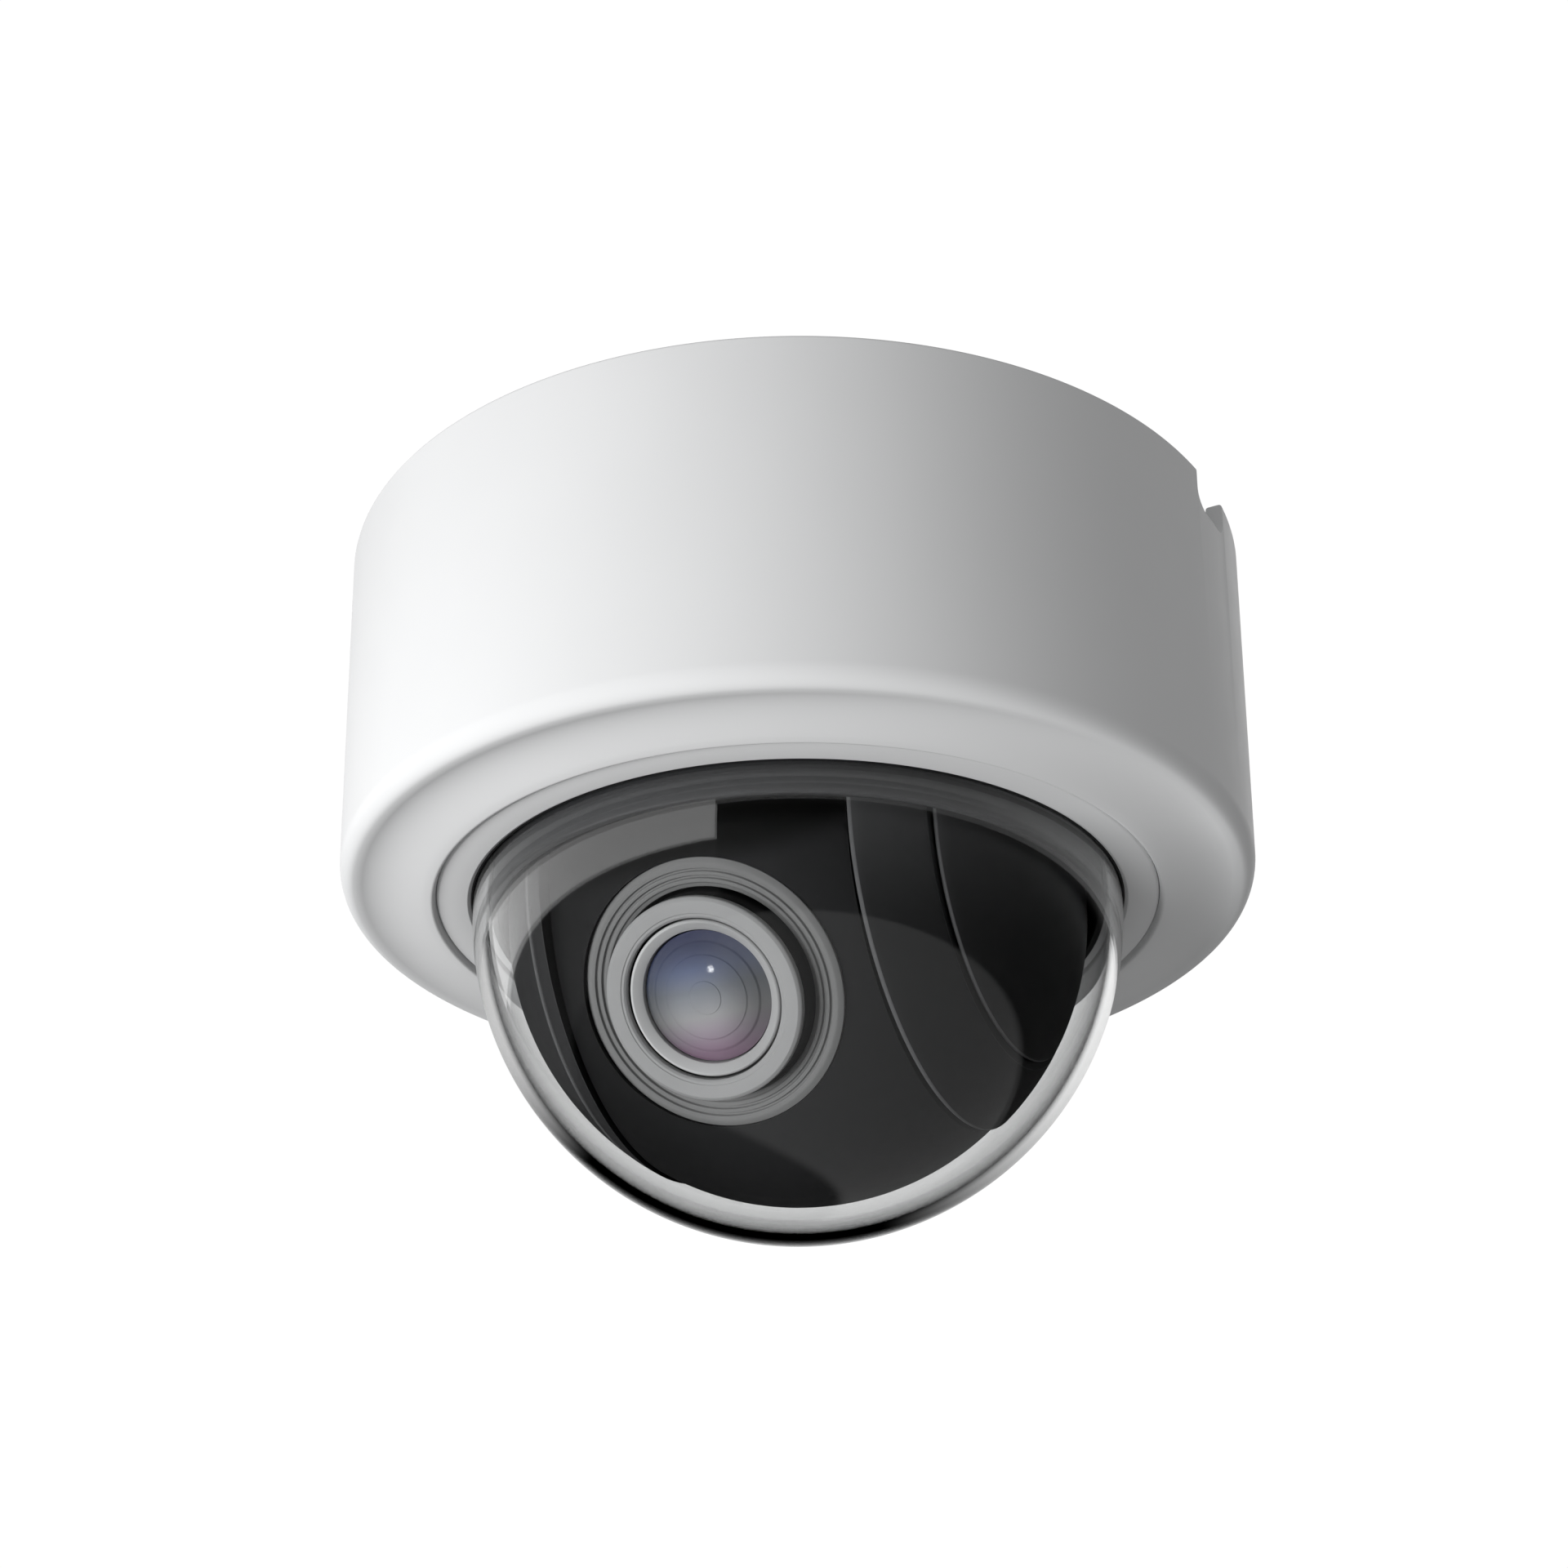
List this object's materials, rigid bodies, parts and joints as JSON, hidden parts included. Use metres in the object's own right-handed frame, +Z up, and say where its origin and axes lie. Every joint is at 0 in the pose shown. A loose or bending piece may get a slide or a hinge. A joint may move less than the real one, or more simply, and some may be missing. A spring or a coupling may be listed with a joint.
{
  "type": "ptz camera",
  "caption": "Ceiling dome camera: shallow drum housing with a side cable notch, a clear bubble, and a camera ball that pans on a turntable and tilts in a fork.",
  "frame": {"origin": "centre of the mounting plate's flat top face, which meets the ceiling", "axes": "+Z up, out of the mounting face and into the ceiling; the bubble hangs towards -Z; the lens looks towards -Y, a little to -X and down at rest"},
  "size_m": [0.131, 0.131, 0.1],
  "materials": {
    "white_plastic": "fine satin texture",
    "clear_dome": "polished clear polycarbonate",
    "charcoal_plastic": "satin charcoal",
    "liner_plastic": "satin dark grey",
    "grey_plastic": "satin grey",
    "silver_ring": "satin",
    "black_plastic": "satin",
    "lens_glass": "coated, polished",
    "rubber": "matt",
    "steel": "plated",
    "aluminium": "satin",
    "nylon": "moulded",
    "circuit_board": "solder mask"
  },
  "bodies": {
    "root": {"mounting_plate": "steel", "mounting_post_1": "steel", "mounting_post_2": "steel", "mounting_post_3": "steel", "chassis_plate": "aluminium", "cable_gland": "rubber", "shell_screw_1": "steel", "shell_screw_2": "steel", "shell_screw_3": "steel", "housing_shell": "white_plastic", "bubble_ring": "white_plastic", "bubble_gasket": "rubber", "dome_bubble": "clear_dome", "liner_ring": "liner_plastic", "main_board": "circuit_board", "board_standoff_1": "steel", "board_standoff_2": "steel", "processor": "black_plastic", "network_transformer": "black_plastic", "power_capacitor": "aluminium", "card_slot": "steel", "reset_switch": "black_plastic", "pan_motor": "steel", "pan_bearing_outer": "steel"},
    "pan_head": {"turntable": "charcoal_plastic", "hub_nut": "steel", "pan_bearing_inner": "steel", "pan_gear": "nylon", "left_fork_arm": "charcoal_plastic", "right_fork_arm": "charcoal_plastic", "left_side_cover": "charcoal_plastic", "right_side_cover": "charcoal_plastic", "tilt_motor": "steel", "tilt_bearing_left": "steel", "tilt_bearing_right": "steel"},
    "camera_ball": {"ball_front_shell": "charcoal_plastic", "ball_rear_shell": "charcoal_plastic", "tilt_frame": "aluminium", "tilt_shaft_left": "steel", "tilt_shaft_right": "steel", "tilt_gear": "nylon", "lens_bezel": "grey_plastic", "lens_trim_ring": "silver_ring", "lens_front_ring": "silver_ring", "front_lens": "lens_glass", "lens_barrel": "black_plastic", "image_sensor": "black_plastic", "sensor_board": "circuit_board", "heat_sink": "aluminium"},
    "pan_pinion": {"pan_pinion": "nylon"},
    "tilt_pinion": {"tilt_pinion": "nylon"},
    "zoom_group": {"zoom_group": "lens_glass"},
    "focus_group": {"focus_group": "lens_glass"},
    "ir_cut_filter": {"ir_cut_filter": "lens_glass"},
    "reset_button": {"reset_button": "nylon"}
  },
  "joints": [
    {"name": "pan", "type": "hinge", "parent": "root", "child": "pan_head", "pos_m": [0, 0, -0.0264], "axis": [0, 0, 1], "range_deg": [-175, 175]},
    {"name": "tilt", "type": "hinge", "parent": "pan_head", "child": "camera_ball", "pos_m": [0, 0, -0.0558], "axis": [0.9026, -0.4305, 0], "range_deg": [-36.6, 53.4]},
    {"name": "pan_pinion_spin", "type": "hinge", "parent": "root", "child": "pan_pinion", "pos_m": [0.0301, 0, -0.0229], "axis": [0, 0, 1], "range_deg": [-710, 710]},
    {"name": "tilt_pinion_spin", "type": "hinge", "parent": "pan_head", "child": "tilt_pinion", "pos_m": [0.02139, -0.0102, -0.0429], "axis": [0.9026, -0.4305, 0], "range_deg": [-165, 115]},
    {"name": "zoom_travel", "type": "slide", "parent": "camera_ball", "child": "zoom_group", "axis": [-0.3456, -0.7246, -0.5962], "range_m": [-0.004, 0.005]},
    {"name": "focus_travel", "type": "slide", "parent": "camera_ball", "child": "focus_group", "axis": [-0.3456, -0.7246, -0.5962], "range_m": [-0.002, 0.003]},
    {"name": "ir_cut_travel", "type": "slide", "parent": "camera_ball", "child": "ir_cut_filter", "axis": [0.9026, -0.4305, 0], "range_m": [0, 0.004]},
    {"name": "reset_press", "type": "slide", "parent": "root", "child": "reset_button", "axis": [0, 0, -1], "range_m": [0, 0.0003], "stiffness_N_per_m": 400, "springref_m": -0.0002}
  ],
  "couplings": [
    {"joint": "pan_pinion_spin", "follows": "pan", "ratio": -4},
    {"joint": "tilt_pinion_spin", "follows": "tilt", "ratio": -3}
  ]
}
